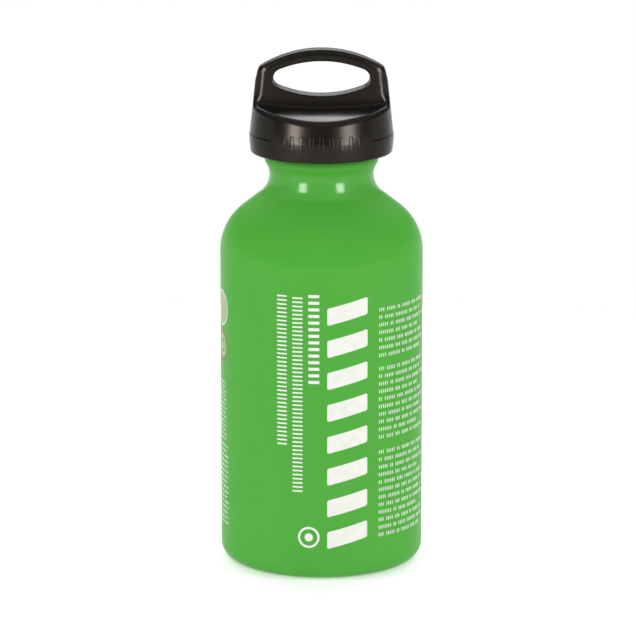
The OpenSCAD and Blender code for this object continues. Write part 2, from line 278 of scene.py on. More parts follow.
lacquer = green_lacquer("green_lacquer", 0.2)
bare_metal = drawn_aluminium()
section = outside + lip + inside
vertices, faces = revolved(section, steps=can_steps)
can = shown("can", vertices, faces, [lacquer, bare_metal])
first_bare = len(outside) - 1
for number, polygon in enumerate(can.data.polygons):
    polygon.material_index = int(number % (len(section) - 1) >= first_bare)
welded(can)
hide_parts("bottle_shell")
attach(can, "bottle")

# The second coat on the neck. Where the can is held while it is sprayed, the neck gets a full clear
# coat of its own, a film round the hollow under the cap. It is what shines there.
coat_out, coat_in = 0.015, -0.01


def neck_line(out):
    """The section of the hollow and the foot of the flare, moved outward."""
    hollow = arc(neck_c, neck_curve_r - out, 180 + math.degrees(shoulder_turn), 180, 30)
    return hollow + arc(flare_c, flare_r - out, 180, (180 + collar_turn) / 2, 8)[1:]


coat_section = neck_line(coat_out) + neck_line(coat_in)[::-1]
neck_coat = shown("neck_coat", *revolved(coat_section), [green_lacquer("neck_lacquer", 0.6)])
welded(neck_coat)
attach(neck_coat, "bottle")

# The printing. Three inks, screened onto the lacquer and baked: white, grey and red. Its
# places, sizes and colours follow the real can's, and its motifs are plain ones: slanting blocks,
# columns and rows of ticks, discs and rings. Each lies on the can as a film with its own edge.
ink_under, ink_over = body_r - 0.02, body_r + 0.03
cell = 1.3


def ink(name, colour):
    """Screen ink: nearly even, a little less glossy than the lacquer under it."""
    material, tree, shader, place = finish(name, colour, 0.38)
    darker = tuple(0.93 * c for c in colour)
    mottled(tree, shader, spread(tree, noise(tree, place, 380, 3.0), 0, 1), darker, colour)
    tree.links.new(spread(tree, noise(tree, place, 600), 0.34, 0.46), shader.inputs["Roughness"])
    bumped(tree, shader, noise(tree, place, 3000, 2.0), 0.000004)
    return material


def film(grids):
    """A thin closed film wrapped on the can for each grid of places (around, height). The first is
    measured from the can's front, positive to the right. A grid is (rows, columns, 2)."""
    vertices, faces = [], []
    for grid, closed in grids:
        rows, columns = grid.shape[:2]
        turn = grid[:, :, 0] / body_r - math.pi / 2
        start = len(vertices)
        for r in (ink_over, ink_under):
            layer = np.stack([r * np.cos(turn), r * np.sin(turn), grid[:, :, 1]], axis=2)
            vertices.extend(layer.reshape(-1, 3).tolist())
        under = rows * columns

        def at(i, j, layer=0):
            return start + layer * under + (i % rows) * columns + j

        last = rows if closed else rows - 1
        for i in range(last):
            for j in range(columns - 1):
                faces.append((at(i, j), at(i + 1, j), at(i + 1, j + 1), at(i, j + 1)))
                faces.append((at(i, j, 1), at(i, j + 1, 1), at(i + 1, j + 1, 1), at(i + 1, j, 1)))
            faces.append((at(i, 0), at(i, 0, 1), at(i + 1, 0, 1), at(i + 1, 0)))
            faces.append((at(i, columns - 1), at(i + 1, columns - 1), at(i + 1, columns - 1, 1),
                          at(i, columns - 1, 1)))
        if not closed:
            for j in range(columns - 1):
                faces.append((at(0, j), at(0, j + 1), at(0, j + 1, 1), at(0, j, 1)))
                faces.append((at(rows - 1, j), at(rows - 1, j, 1), at(rows - 1, j + 1, 1),
                              at(rows - 1, j + 1)))
    return vertices, faces


def block(left, low, width, height, rise=0.0, corner=0.0):
    """A bar with rounded corners. rise is how far its right end stands above its left end."""
    if corner:
        rounding = [corner * (1 - math.cos(a)) for a in np.radians(np.linspace(0, 90, 6))]
    else:
        rounding = [0]
    middle = np.linspace(rounding[-1], width - rounding[-1], max(2, math.ceil(width / cell) + 1))
    across = rounding[:-1] + list(middle) + [width - d for d in rounding[:-1]][::-1]
    rows = []
    for d in across:
        edge = min(d, width - d)
        cut = corner - math.sqrt(max(corner ** 2 - max(corner - edge, 0) ** 2, 0))
        lift = low + rise * d / width
        rows.append([(left + d, lift + cut), (left + d, lift + height - cut)])
    return np.array(rows), False


def ring(around, height, inner, outer):
    """A ring, or a disc where inner is 0."""
    turn = np.linspace(0, 2 * math.pi, 72, endpoint=False)
    sizes = np.linspace(max(inner, 0.001), outer, max(2, math.ceil((outer - inner) / cell) + 1))
    rows = [[(around + r * math.cos(a), height + r * math.sin(a)) for r in sizes] for a in turn]
    return np.array(rows), True


def ticks(left, width, low, high, pitch, thick):
    """An upright column of ticks."""
    return [block(left, height, width, thick) for height in np.arange(low, high - thick + 0.001, pitch)]


def tick_rows(left, low, high, pitch, tall, thick, space, right):
    """Rows of short upright ticks in groups. The group sizes run through a few numbers again and
    again, and so do the right ends of the rows. The gap between two groups is wider."""
    marks, number = [], 0
    for row, height in enumerate(np.arange(high, low - 0.001, -pitch)):
        place, end = left, right[row % len(right)]
        while place < end:
            for _ in range(group_sizes[number % len(group_sizes)]):
                if place < end:
                    marks.append(block(place, height - tall / 2, thick, tall))
                place += thick + space
            place += group_gap * space
            number += 1
    return marks


block_count, block_pitch, block_low = 8, 11.7, 12.0
block_left, block_w, block_h, block_rise, block_corner = 2.0, 14.9, 6.2, 3.6, 0.7
tick_columns = ((-16.3, 3.7, 50.0, 105.1, 1.5, 0.55), (-10.5, 3.7, 33.0, 105.4, 1.5, 0.55),
                (-4.7, 3.9, 72.8, 105.6, 2.4, 1.1))
target_x, target_z, target_rings = -4.6, 16.3, ((3.1, 3.9), (0, 1.5))
group_sizes, group_gap = (3, 5, 2, 6, 4, 7, 2, 5, 8, 3, 4), 1.6
right_left, right_ends = 21.8, (50.0, 47.2, 51.3, 44.6, 49.4)
right_parts, right_tick = ((80.4, 98.4), (50.6, 76.8), (14.5, 46.2)), (2.78, 1.3, 0.33, 0.55)
disc_x, disc_z, disc_r, disc_rim_r = -49.4, 94.4, 6.1, 6.5
badge_x, badge_z, badge_in_r, badge_r = -49.1, 80.6, 5.3, 5.77
badge_rings = ((0, 1.7), (2.6, 4.4))
side_left, upper_part, upper_tick = -54.0, (46.2, 67.2), (1.6, 0.8, 0.28, 0.46)
lower_part, lower_tick = (13.6, 43.8), (1.9, 0.9, 0.32, 0.50)
upper_ends, lower_ends = (-44.6, -45.2, -44.4, -45.6), (-43.2, -44.0, -42.9)
white_marks = []
for number in range(block_count):
    low = block_low + block_pitch * number
    white_marks.append(block(block_left, low, block_w, block_h, block_rise, block_corner))
for column in tick_columns:
    white_marks += ticks(*column)
white_marks += [ring(target_x, target_z, *radii) for radii in target_rings]
for low, high in right_parts:
    white_marks += tick_rows(right_left, low, high, *right_tick, right_ends)
white_marks += [ring(disc_x, disc_z, disc_r, disc_rim_r)]
white_marks += tick_rows(side_left, *upper_part, *upper_tick, upper_ends)
white_marks += tick_rows(side_left, *lower_part, *lower_tick, lower_ends)
white_print = shown("white_print", *film(white_marks), [ink("white_ink", (0.88, 0.89, 0.82))])
red_marks = [ring(badge_x, badge_z, badge_in_r, badge_r)]
red_print = shown("red_print", *film(red_marks), [ink("red_ink", (0.36, 0.075, 0.03))])
grey_marks = [ring(disc_x, disc_z, 0, disc_r)]
grey_marks += [ring(badge_x, badge_z, *radii) for radii in badge_rings]
grey_print = shown("grey_print", *film(grey_marks), [ink("grey_ink", (0.40, 0.50, 0.32))])
for printing in (white_print, red_print, grey_print):
    welded(printing)
    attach(printing, "bottle")

# The neck insert. A turned aluminium ring with the coarse inner thread, dropped in from above
# and held by the collar that is rolled round its flange. Its thread has one start and runs right-hand.
insert_bore_r, insert_length, insert_drop = 14.4, 13.4, 1.5
insert_foot_z, insert_top_z = lip_z - insert_length, lip_z - insert_drop
sleeve_play, sleeve_edge, flange_play, flange_foot = 0.1, 0.3, 0.02, 2.7
sleeve_r = neck_r - wall - sleeve_play
thread_lead, thread_h = 4.0, 1.3
thread_crest, thread_flank, thread_fade = 0.9, 0.75, 1.6


def thread(turn, z, middle, low, high):
    """Share of the thread's height at each place. Its ridge climbs one lead a turn, and middle is
    its height at angle 0. It fades out at the low and high ends."""
    away = (z - middle - thread_lead * turn / (2 * math.pi)) / thread_lead
    away = np.abs(away - np.round(away)) * thread_lead
    crest = np.clip((thread_crest / 2 + thread_flank - away) / thread_flank, 0, 1)
    fade = np.clip((z - low) / thread_fade, 0, 1) * np.clip((high - z) / thread_fade, 0, 1)
    return crest * crest * (3 - 2 * crest) * fade


def insert_relief(turn, r, z):
    """The inner thread, which stands in from the bore."""
    ridge = thread(turn, z, insert_foot_z, insert_foot_z, insert_top_z)
    return r - thread_h * ridge * (np.abs(r - insert_bore_r) < 0.01), z


core_r = 12.6
flange_turn = math.degrees(math.acos((sleeve_r - collar_x) / (collar_round_r - wall)))
bore_rows = [(insert_bore_r, z) for z in np.linspace(insert_top_z - 0.3, insert_foot_z + 0.4, 90)]
insert_section = [(insert_bore_r + 0.4, insert_foot_z), (sleeve_r - sleeve_edge, insert_foot_z)]
insert_section += arc((sleeve_r - sleeve_edge, insert_foot_z + sleeve_edge), sleeve_edge, -90, 0, 5)[1:]
insert_section += line(insert_section[-1], (sleeve_r, collar_c[1] - flange_foot), 8)
insert_section += arc(collar_c, collar_round_r - wall - flange_play, -flange_turn, bore_turn, 30)
insert_section += [(insert_bore_r + 0.3, insert_top_z)] + bore_rows
insert = shown("neck_insert", *revolved(insert_section, insert_relief), [bare_metal])
welded(insert)
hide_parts("neck_ring")
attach(insert, "bottle")

# The gasket. A flat ring punched from fuel-proof rubber. It lies on the can's lip, and the
# stopper's flange presses it down. The edges are a little rounded, as the punch leaves them.
gasket_low, gasket_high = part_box("seal_ring")
gasket_r, gasket_bore_r, gasket_edge_r = gasket_high[0] / MM, 15.4, 0.35
gasket_low_z, gasket_top_z = gasket_low[2] / MM, gasket_high[2] / MM


def gasket_rubber():
    """Matt black rubber with a fine tooth and a little dust in it."""
    material, tree, shader, place = finish("gasket_rubber", (0.022, 0.020, 0.019), 0.72)
    mottled(tree, shader, spread(tree, noise(tree, place, 260, 4.0), 0, 1),
            (0.018, 0.016, 0.015), (0.034, 0.031, 0.029))
    tree.links.new(spread(tree, noise(tree, place, 480), 0.62, 0.82), shader.inputs["Roughness"])
    bumped(tree, shader, noise(tree, place, 2200, 3.0), 0.00003)
    return material


gasket_section = eased(
    [(gasket_bore_r, gasket_low_z, gasket_edge_r), (gasket_r, gasket_low_z, gasket_edge_r),
     (gasket_r, gasket_top_z, gasket_edge_r), (gasket_bore_r, gasket_top_z, gasket_edge_r)])
gasket = shown("gasket", *revolved(gasket_section), [gasket_rubber()])
welded(gasket)
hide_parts("seal_ring")
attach(gasket, "seal")

# The inner stopper. One moulding of hard black plastic: a hollow threaded core, a flange that
# seats on the gasket, a boss for the spring, and eight ratchet teeth that the outer cap pushes.
stopper_low, stopper_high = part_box("stopper")
core_bottom_z = stopper_low[2] / MM
flange_r, flange_t, boss_h = stopper_high[0] / MM, 2.4, 4.4
flange_top_z = gasket_top_z + flange_t
core_wall, core_foot_edge, seat_r, seat_z = 2.2, 0.7, 14.9, lip_z + 0.3
boss_r, boss_top_z, boss_recess_r, boss_recess_depth = 5.6, flange_top_z + boss_h, 3.4, 3.0
tooth_count, tooth_in_r, tooth_out_r, tooth_w, tooth_tip_w, tooth_slope = 8, 13.0, 19.0, 4.8, 2.4, 0.1
stopper_tooth_h, stopper_steps = 3.8, 480
cap_black = (0.0085, 0.0073, 0.0062)


def ratchet(turn, r, middle):
    """How far a ratchet tooth stands up, from 0 to 1: upright on one side, a ramp on the other."""
    pitch = 2 * math.pi / tooth_count
    away = r * np.sin((turn - middle + pitch / 2) % pitch - pitch / 2)
    ramp = np.clip((tooth_w / 2 - away) / (tooth_w - tooth_tip_w), 0, 1)
    upright = np.clip((away + tooth_w / 2) / tooth_slope, 0, 1)
    ends = np.clip((r - tooth_in_r) / tooth_slope, 0, 1) * np.clip((tooth_out_r - r) / tooth_slope, 0, 1)
    return ramp * upright * ends


def stopper_relief(turn, r, z):
    """The thread on the core, half a lead away from the insert's, and the teeth on the flange."""
    ridge = thread(turn, z, insert_foot_z + thread_lead / 2, core_bottom_z + 0.8, insert_top_z - 0.4)
    on_flange = np.abs(z - flange_top_z) < 0.01
    tooth = ratchet(turn, r, math.pi / tooth_count) * on_flange
    return r + thread_h * ridge * (np.abs(r - core_r) < 0.01), z + stopper_tooth_h * tooth


def moulded_plastic(name, grain):
    """Hard black plastic from a spark-eroded mould: a faint even grain, satin, its gloss a little uneven."""
    material, tree, shader, place = finish(name, cap_black, 0.24)
    shader.inputs["Specular IOR Level"].default_value = 0.27
    shader.inputs["Specular Tint"].default_value = (1.0, 0.89, 0.76, 1)
    mottled(tree, shader, spread(tree, noise(tree, place, 130, 3.0), 0, 1),
            cap_black, (0.0088, 0.0078, 0.0068))
    tree.links.new(spread(tree, noise(tree, place, 90, 3.0), 0.21, 0.28), shader.inputs["Roughness"])
    flow = bumped(tree, shader, noise(tree, place, 420, 2.0), 0.00001)
    bumped(tree, shader, noise(tree, place, 3200, 2.0), grain, flow)
    return material


stopper_plastic = moulded_plastic("stopper_plastic", 0.000008)
core_rows = [(core_r, z, 0) for z in np.linspace(core_bottom_z + core_foot_edge + 0.05, seat_z - 0.5, 84)]
flange_rows = [22.3, 21.2, 20.1, 19.1, 19.0, 18.9, 18, 17, 16, 15, 14, 13.1, 13.0, 12.9, 11.5, 10, 8.5, 7]
stopper_section = eased(
    [(0, gasket_top_z + 0.2, 0), (core_r - core_wall, gasket_top_z + 0.2, 1.2),
     (core_r - core_wall, core_bottom_z, 0.6), (core_r, core_bottom_z, core_foot_edge)] + core_rows +
    [(core_r, seat_z, 0.4), (seat_r, seat_z, 0.15), (seat_r, gasket_top_z, 0), (flange_r, gasket_top_z, 0.5),
     (flange_r, flange_top_z, 0.5)] + [(r, flange_top_z, 0) for r in flange_rows] +
    [(boss_r, flange_top_z, 0.8), (boss_r, boss_top_z, 0.6), (boss_recess_r, boss_top_z, 0.4),
     (boss_recess_r, boss_top_z - boss_recess_depth, 0.6), (0, boss_top_z - boss_recess_depth, 0)])
stopper = shown("inner_stopper", *revolved(stopper_section, stopper_relief, stopper_steps), [stopper_plastic])
welded(stopper)
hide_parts("stopper")
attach(stopper, "stopper")

# The return spring. Steel wire wound on a mandrel, with one closed turn at each end. It stands
# round the stopper's boss and lifts the outer cap, so that its teeth only bite when it is pushed.
spring_r, wire_r, spring_turns, spring_gap = 7.2, 0.5, 4.5, 0.03
overcap_low, overcap_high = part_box("overcap")
ceiling_h = 13.6
ceiling_z = overcap_low[2] / MM + ceiling_h
spring_foot_z = flange_top_z + wire_r + spring_gap
spring_run = ceiling_z - flange_top_z - 2 * (wire_r + spring_gap)
end_rise = 2.04 * wire_r


def spring_steel():
    """Drawn steel wire: bright, with fine lines from the die and a faint blue-grey tint."""
    material, tree, shader, place = finish("spring_steel", (0.56, 0.57, 0.59), 0.3, 1.0)
    mottled(tree, shader, spread(tree, noise(tree, place, 300, 3.0), 0, 1),
            (0.50, 0.51, 0.53), (0.62, 0.63, 0.64))
    tree.links.new(spread(tree, noise(tree, place, 700, 3.0), 0.24, 0.38), shader.inputs["Roughness"])
    bumped(tree, shader, noise(tree, place, 1500, 3.0, (1, 1, 6)), 0.000012)
    return material


def spring_rise(turns):
    """Height of the wire's middle after so many turns: closed, open, closed again."""
    inner = end_rise + (spring_run - 2 * end_rise) * (turns - 1) / (spring_turns - 2)
    if turns < 1:
        return end_rise * turns
    if turns > spring_turns - 1:
        return spring_run - end_rise * (spring_turns - turns)
    return inner


wire_sides = 14
wire_points = []
end_sizes = [0.55, 0.85, 0.97]
turn_steps = 48
stations = [(0, size) for size in end_sizes]
stations += [(i / turn_steps, 1) for i in range(1, int(spring_turns * turn_steps))]
stations += [(spring_turns, size) for size in end_sizes[::-1]]
for index, (turns, size) in enumerate(stations):
    overhang = wire_r * math.sqrt(1 - size * size) / (2 * math.pi * spring_r)
    at_end = index < len(end_sizes) or index >= len(stations) - len(end_sizes)
    along = turns + (overhang if turns else -overhang) * at_end
    angle = 2 * math.pi * along
    middle = spring_foot_z + spring_rise(min(max(along, 0), spring_turns))
    for side in range(wire_sides):
        round_wire = 2 * math.pi * side / wire_sides
        r = spring_r + size * wire_r * math.cos(round_wire)
        height = middle + size * wire_r * math.sin(round_wire)
        wire_points.append((r * math.cos(angle), r * math.sin(angle), height))
last_point = len(wire_points) - 1
wire_faces = [tuple(range(wire_sides)), tuple(range(last_point, last_point - wire_sides, -1))]
for station in range(len(stations) - 1):
    for side in range(wire_sides):
        after = (side + 1) % wire_sides
        low, high = station * wire_sides, (station + 1) * wire_sides
        wire_faces.append((low + side, high + side, high + after, low + after))
spring = shown("coil_spring", wire_points, wire_faces, [spring_steel()])
welded(spring)
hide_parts("return_spring")
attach(spring, "spring")
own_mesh(spring)

# The outer cap. One moulding of hard black plastic: a lower band, a skirt with a saddle top, and
# the carrying loop. A bead inside clips under the stopper's flange, and teeth hang from its
# ceiling over the stopper's. It is worked out as one rounded solid and meshed from that.
rim_z, crest_z = overcap_low[2] / MM, overcap_high[2] / MM
rim_r, band_r, band_bulge_h, band_h = 25.4, 25.9, 5.8, 6.95
rim_round, band_edge, band_step = 0.8, 0.3, 0.4
front_swell, swell_top_h, swell_start, swell_blend = 0.86, 15.0, 0.66, 0.14
skirt_r, skirt_draft, face_r, face_depth, face_blend = 25.75, 0.105, 27.0, 0.7, 0.35
saddle_h, saddle_r, saddle_edge, saddle_fillet = 15.9, 160.0, 2.0, 1.7
saddle_flat, saddle_fall_r = 9.0, 80.0
loop_t, leg_edge, leg_blend, crest_r, crest_edge = 7.6, 3.6, 4.0, 41.2, 2.2
corner_lean, corner_blend = 0.6, 3.0
eye_h, eye_half_l, eye_half_h, eye_end_r, eye_edge = 26.9, 17.3, 6.25, 3.6, 0.45
parting_h, parting_w = 0.12, 0.3
skirt_in_r, ceiling_edge, bead_r, bead_lead_h, bead_slope, bead_edge = 23.4, 0.6, 22.2, 1.6, 1.0625, 0.25
ring_r, ring_t, ring_h, ring_edge = 9.2, 1.2, 1.4, 0.3
bead_gap, inside_edge = 0.1, 0.3
cap_tooth_h, tooth_edge = 2.9, 0.3
band_top_z, saddle_z, eye_z = rim_z + band_h, rim_z + saddle_h, rim_z + eye_h
crest_c = crest_z - crest_r
bead_top_z = gasket_top_z - bead_gap
bead_low_z = rim_z + bead_lead_h
grid_step = 0.385


def met(a, b, size, lean=0.0):
    """The solid that two solids share, its edge rounded. lean is the cosine between their faces."""
    p, q = a + size, b + size
    u, v = (p - lean * q) / (1 - lean * lean), (q - lean * p) / (1 - lean * lean)
    edge = np.sqrt(np.maximum(u * u + v * v + 2 * lean * u * v, 0)) - size
    return np.where((u > 0) & (v > 0), edge, np.maximum(a, b))


def joined(a, b, size):
    """Two solids made one, with a fillet where they meet."""
    return -met(-a, -b, size)


def brought_together(a, b, size):
    """The solid that two shallowly crossing faces share, its edge eased."""
    return np.maximum(a, b) + np.maximum(size - np.abs(a - b), 0) ** 2 / (4 * size)


def eye_gap(x, z):
    """Distance outside the eye's oval, which is made of two long arcs and two round ends."""
    big_r = (eye_half_l ** 2 + eye_half_h ** 2 - 2 * eye_half_l * eye_end_r) / (2 * (eye_half_h - eye_end_r))
    drop = big_r - eye_half_h
    end_x = eye_half_l - eye_end_r
    across, up = np.abs(x), np.abs(z - eye_z)
    near_end = across * drop > end_x * (up + drop)
    return np.where(near_end, np.hypot(across - end_x, up) - eye_end_r, np.hypot(across, up + drop) - big_r)


def loop_and_skirt(x, y, z):
    """The skirt with the loop standing on it. Its top is a saddle: hollow from side to side, and
    falling a little towards its front and back edges."""
    depth = np.abs(y)
    slab = depth - loop_t / 2
    crest = np.hypot(x, z - crest_c) - crest_r
    parting = parting_h * np.exp(-(y / parting_w) ** 2)
    plate = met(met(slab, crest, crest_edge), -(eye_gap(x, z) + parting), eye_edge)
    fall = np.clip(depth - saddle_flat, 0, None) ** 2 / (2 * saddle_fall_r)
    saddle = saddle_r - np.hypot(x, z + fall - saddle_z - saddle_r)
    upper = joined(plate, saddle, saddle_fillet)
    slope = skirt_draft * (z - band_top_z)
    cone = np.hypot(x, y) - (skirt_r - slope)
    face = np.hypot(x, depth + face_r - skirt_r + face_depth) - (face_r - slope)
    wall_side = brought_together(cone, face, face_blend)
    rise = np.clip(saddle / leg_blend, 0, 1)
    edge = saddle_edge + (leg_edge - saddle_edge) * rise * rise * (3 - 2 * rise)
    on_crest = np.clip((crest - slab + corner_blend / 2) / corner_blend, 0, 1)
    on_crest = on_crest * np.clip((z - eye_z) / leg_blend, 0, 1)
    return np.maximum(met(upper, wall_side, edge, corner_lean * on_crest), band_top_z - 1 - z)


def with_band(upper, x, y, z):
    """The lower band set round the foot of the skirt: slightly barrel shaped, with a rounded rim.
    In front and behind the skirt swells out to it, so that no step shows between the grip bars."""
    low = np.clip((rim_z + band_bulge_h - z) / band_bulge_h, 0, 1)
    side = np.hypot(x, y) - (band_r - (band_r - rim_r) * low ** 1.5)
    facing = np.abs(y) / np.maximum(np.hypot(x, y), 1)
    facing = np.clip((facing - swell_start) / swell_blend, 0, 1)
    fading = np.clip((rim_z + swell_top_h - z) / (swell_top_h - band_h), 0, 1)
    stepped = joined(upper - front_swell * facing * fading, z - band_top_z, band_step)
    return met(met(stepped, side, band_edge), rim_z - z, rim_round)


def cavity(x, y, z):
    """The space inside, down to the retaining bead and out through its lead-in."""
    around = np.hypot(x, y)
    chamber = met(met(around - skirt_in_r, z - ceiling_z, ceiling_edge), bead_top_z - z, inside_edge)
    mouth = around - bead_r - bead_slope * np.maximum(bead_low_z - z, 0)
    mouth = np.maximum(mouth, z - bead_top_z - 2)
    return joined(chamber, mouth, bead_edge)


def hanging(x, y, z):
    """The ring that keeps the spring in place and the ratchet teeth, all under the ceiling."""
    around = np.hypot(x, y)
    under = ceiling_z - z
    above = z - ceiling_z - 1
    spring_ring = met(np.abs(around - ring_r) - ring_t / 2, under - ring_h, ring_edge)
    pitch = 2 * math.pi / tooth_count
    turn = np.arctan2(y, x)
    turn = turn - pitch * np.round(turn / pitch)
    out, along = around * np.cos(turn), around * np.sin(turn)
    steep = math.hypot(cap_tooth_h, tooth_w - tooth_tip_w)
    ramp = ((along - tooth_w / 2) * cap_tooth_h + under * (tooth_w - tooth_tip_w)) / steep
    tooth = met(met(-along - tooth_w / 2, under - cap_tooth_h, tooth_edge), ramp, tooth_edge)
    ends = np.abs(out - (tooth_in_r + tooth_out_r) / 2) - (tooth_out_r - tooth_in_r) / 2
    tooth = met(tooth, ends, tooth_edge)
    return np.maximum(np.minimum(spring_ring, tooth), above)


def outer_cap(x, y, z):
    """Distance outside the outer cap at each point, negative within it."""
    body = with_band(loop_and_skirt(x, y, z), x, y, z)
    body = met(body, -cavity(x, y, z), inside_edge)
    return joined(body, hanging(x, y, z), inside_edge)


def slope_of(solid, points, reach=0.02):
    """The direction in which the distance grows at each point."""
    steps = np.eye(3) * reach
    return np.stack([solid(*(points + s).T) - solid(*(points - s).T) for s in steps], axis=1) / (2 * reach)


def drawn_to(solid, points, rounds):
    """Moves the points straight onto the solid's surface."""
    for _ in range(rounds):
        away = slope_of(solid, points)
        size = np.maximum((away ** 2).sum(axis=1), 0.25)
        shift = np.clip(solid(*points.T) / size, -grid_step, grid_step)
        points = points - away * shift[:, None]
    return points


def meshed(solid, low, high, step):
    """Points and quads over the surface of a solid, one point in each cell of a grid it passes."""
    axes = [np.arange(a - 2.2 * step, b + 2.2 * step, step, dtype=np.float32) for a, b in zip(low, high)]
    field = solid(*np.meshgrid(*axes, indexing="ij", sparse=True)).astype(np.float32)
    filled = field < 0
    shape = np.array(field.shape)
    corners = [(i, j, k) for i in (0, 1) for j in (0, 1) for k in (0, 1)]
    count = sum(filled[i:shape[0] - 1 + i, j:shape[1] - 1 + j, k:shape[2] - 1 + k].astype(np.int8)
                for i, j, k in corners)
    cells = np.argwhere((count > 0) & (count < 8))
    index = np.full(shape - 1, -1, np.int64)
    index[tuple(cells.T)] = np.arange(len(cells))
    total, crossings = np.zeros((len(cells), 3)), np.zeros((len(cells), 1))
    faces = []
    for axis in range(3):
        ahead = np.eye(3, dtype=int)[axis]
        others = [i for i in range(3) if i != axis]
        for pair in ((0, 0), (0, 1), (1, 0), (1, 1)):
            offset = np.zeros(3, int)
            offset[others] = pair
            a = field[tuple((cells + offset).T)]
            b = field[tuple((cells + offset + ahead).T)]
            crossed = (a < 0) != (b < 0)
            share = np.where(crossed, a / np.where(crossed, a - b, 1), 0)[:, None]
            total += crossed[:, None] * (cells + offset + ahead * share)
            crossings += crossed[:, None]
        start = np.take(filled, range(shape[axis] - 1), axis)
        end = np.take(filled, range(1, shape[axis]), axis)
        edges = np.argwhere(start != end)
        outward = start[tuple(edges.T)]
        u, v = (np.eye(3, dtype=int)[others[0]], np.eye(3, dtype=int)[others[1]])
        quad = [index[tuple((edges - p * u - q * v).T)] for p, q in ((0, 0), (1, 0), (1, 1), (0, 1))]
        quad = np.stack(quad, axis=1)
        flip = outward if axis != 1 else ~outward
        faces.append(np.where(flip[:, None], quad, quad[:, ::-1]))
    origin = np.array([a[0] for a in axes], float)
    return origin + total / crossings * step, np.concatenate(faces)


def evened(solid, points, faces, rounds):
    """Slides the points along the surface until they lie evenly, and brings them back onto it."""
    ends = np.concatenate([faces[:, [0, 1]], faces[:, [1, 2]], faces[:, [2, 3]], faces[:, [3, 0]]])
    beside = np.bincount(ends.ravel(), minlength=len(points))[:, None]
    for _ in range(rounds):
        sums = np.stack([np.bincount(ends[:, 0], points[ends[:, 1], i], len(points)) +
                         np.bincount(ends[:, 1], points[ends[:, 0], i], len(points))
                         for i in range(3)], axis=1)
        points = drawn_to(solid, points + 0.5 * (sums / beside - points), 2)
    return points


cap_plastic = moulded_plastic("cap_plastic", 0.00001)
points, quads = meshed(outer_cap, (-band_r, -band_r, rim_z), (band_r, band_r, crest_z), grid_step)
points = drawn_to(outer_cap, points, 4)
points = evened(outer_cap, points, quads, 3)
cap = shown("outer_cap", points, [tuple(q) for q in quads.tolist()], [cap_plastic])
outward = slope_of(outer_cap, points)
outward /= np.linalg.norm(outward, axis=1)[:, None]
cap.data.set_sharp_from_angle(angle=math.pi)
cap.data.normals_split_custom_set_from_vertices(outward.tolist())
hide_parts("overcap")
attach(cap, "overcap")

# The grip bars. Nine on the front of the outer cap and nine on its back, moulded in one with it.
# Each is a low upright pad with a bevelled edge, which starts on the band and ends on the skirt.
bar_count, bar_step = 9, math.radians(8)
bar_w, bar_h, bar_z, bar_corner, bar_edge = 1.7, 5.2, 4.4, 0.5, 0.28
bar_r, bar_top_r, bar_root_r = 26.2, 25.7, 24.3


def bar_rows(inset):
    """Heights and half widths of a bar's outline, from foot to head, moved in by inset."""
    corner, half_w, half_h = bar_corner - inset, bar_w / 2 - inset, bar_h / 2 - inset
    foot = [(corner * (1 - math.cos(a)) - half_h, half_w - corner * (1 - math.sin(a)))
            for a in np.radians(np.linspace(0, 90, 6))]
    bend = band_h - bar_z - bar_h / 2
    middle = [(h, half_w) for h in np.concatenate([np.linspace(corner - half_h, bend, 5)[1:],
                                                   np.linspace(bend, half_h - corner, 5)[1:-1]])]
    return foot + middle + [(-h, w) for h, w in foot[::-1]]


def bar_face(z):
    """How far out a bar's outer face stands at a height."""
    share = max(z - band_top_z, 0) / (bar_z + bar_h - band_h)
    return bar_r + (bar_top_r - bar_r) * share


levels = [(0, None), (0, bar_edge)]
levels += [(bar_edge * (1 - math.cos(a)), bar_edge * (1 - math.sin(a)))
           for a in np.radians(np.linspace(0, 90, 6)[1:])]
bar_points, bar_quads = [], []
for number in range(2 * bar_count):
    side, place = divmod(number, bar_count)
    middle_turn = (place - (bar_count - 1) / 2) * bar_step + side * math.pi - math.pi / 2
    start = len(bar_points)
    for inset, drop in levels:
        rows = bar_rows(inset)
        for height, half_w in rows + [(h, -w) for h, w in rows[::-1]]:
            z = rim_z + bar_z + bar_h / 2 + height
            r = bar_root_r if drop is None else bar_face(z) - drop
            turn = middle_turn + math.asin(half_w / r)
            bar_points.append((r * math.cos(turn), r * math.sin(turn), z))
    around = 2 * len(rows)
    for level in range(len(levels) - 1):
        low, high = start + level * around, start + (level + 1) * around
        for k in range(around):
            n = (k + 1) % around
            bar_quads.append((low + k, low + n, high + n, high + k))
    for k in range(len(rows) - 1):
        far_k = around - 1 - k
        bar_quads.append((start + k + 1, start + k, start + far_k, start + far_k - 1))
        bar_quads.append((high + k, high + k + 1, high + far_k - 1, high + far_k))
bars = shown("grip_bars", bar_points, bar_quads, [cap_plastic])
welded(bars)
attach(bars, "overcap")

# The studio: a round sheet of white acrylic, lit a little from below, as the floor. Round it is a
# plain surround that the camera sees white. In the glosses it is graded: pale below and at the
# sides, dim in front and overhead, and bright straight behind, where it shines through the loop.
floor_r = 0.42


def pale_floor():
    """White acrylic with hardly any tooth, which lets some light through from below."""
    material, tree, shader, place = finish("pale_floor", (0.90, 0.90, 0.90), 0.85)
    shader.inputs["Emission Color"].default_value = (1, 1, 1, 1)
    shader.inputs["Emission Strength"].default_value = 0.32
    mottled(tree, shader, spread(tree, noise(tree, place, 30), 0, 1), (0.89, 0.89, 0.89), (0.91, 0.91, 0.91))
    bumped(tree, shader, noise(tree, place, 900), 0.00002)
    return material


rim = [(floor_r * math.cos(a) / MM, floor_r * math.sin(a) / MM, 0) for a in np.radians(np.arange(0, 360, 3))]
floor = shown("floor", rim, [tuple(range(len(rim)))], [pale_floor()])
floor.visible_glossy = False  # the glosses see the surround's low part instead

